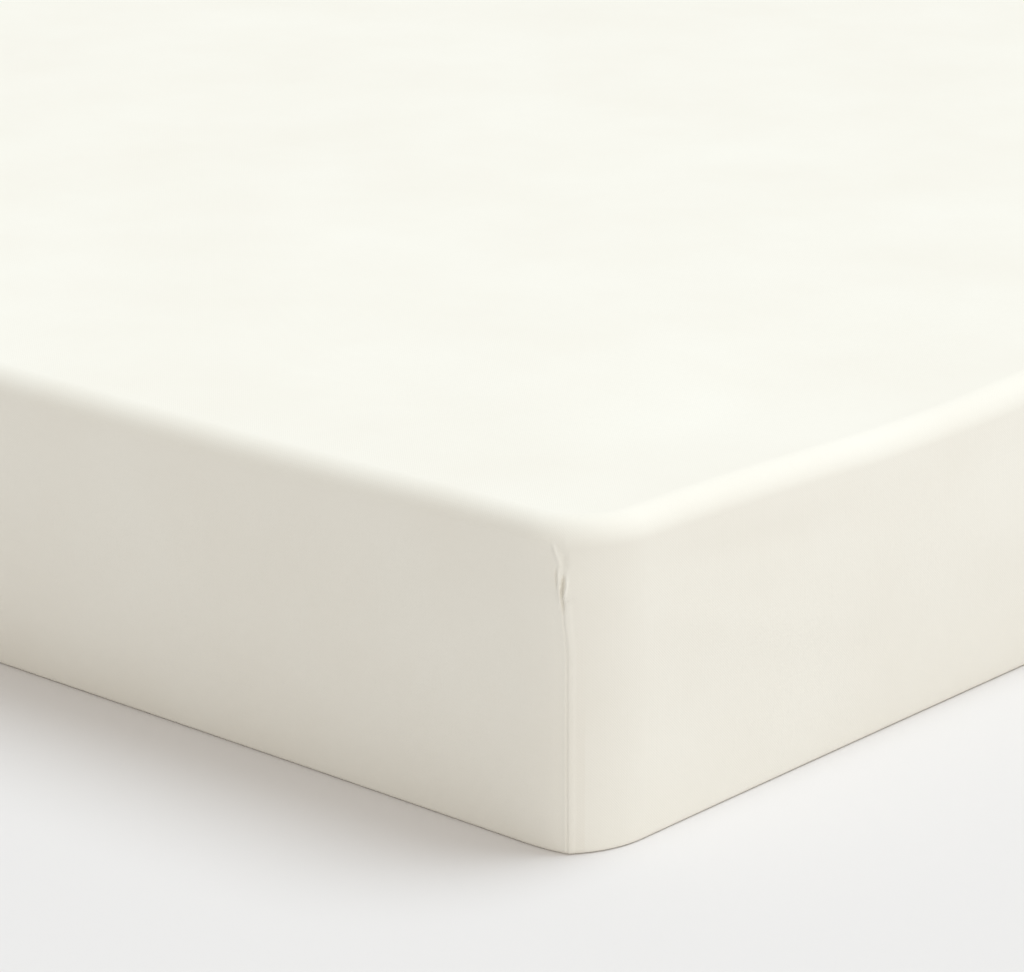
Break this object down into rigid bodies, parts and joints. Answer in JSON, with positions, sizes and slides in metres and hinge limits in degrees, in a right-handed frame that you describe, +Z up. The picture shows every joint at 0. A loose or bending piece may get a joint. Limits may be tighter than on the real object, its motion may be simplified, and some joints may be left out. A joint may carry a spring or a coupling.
{
  "type": "fitted sheet on a mattress",
  "caption": "Plain fitted sheet with sewn box corners and a gathered hem, pulled tight over a deep double mattress.",
  "frame": {"origin": "middle of the footprint, on the surface the mattress rests on", "axes": "+X across the bed, +Y along the bed, +Z up through the mattress"},
  "size_m": [1.8236, 2.0236, 0.2559],
  "materials": {
    "sheet_cloth": "matte ivory percale cotton",
    "mattress_ticking": "matte plain ticking"
  },
  "bodies": {
    "root": {"fitted_sheet": "sheet_cloth", "mattress": "mattress_ticking"}
  },
  "joints": []
}
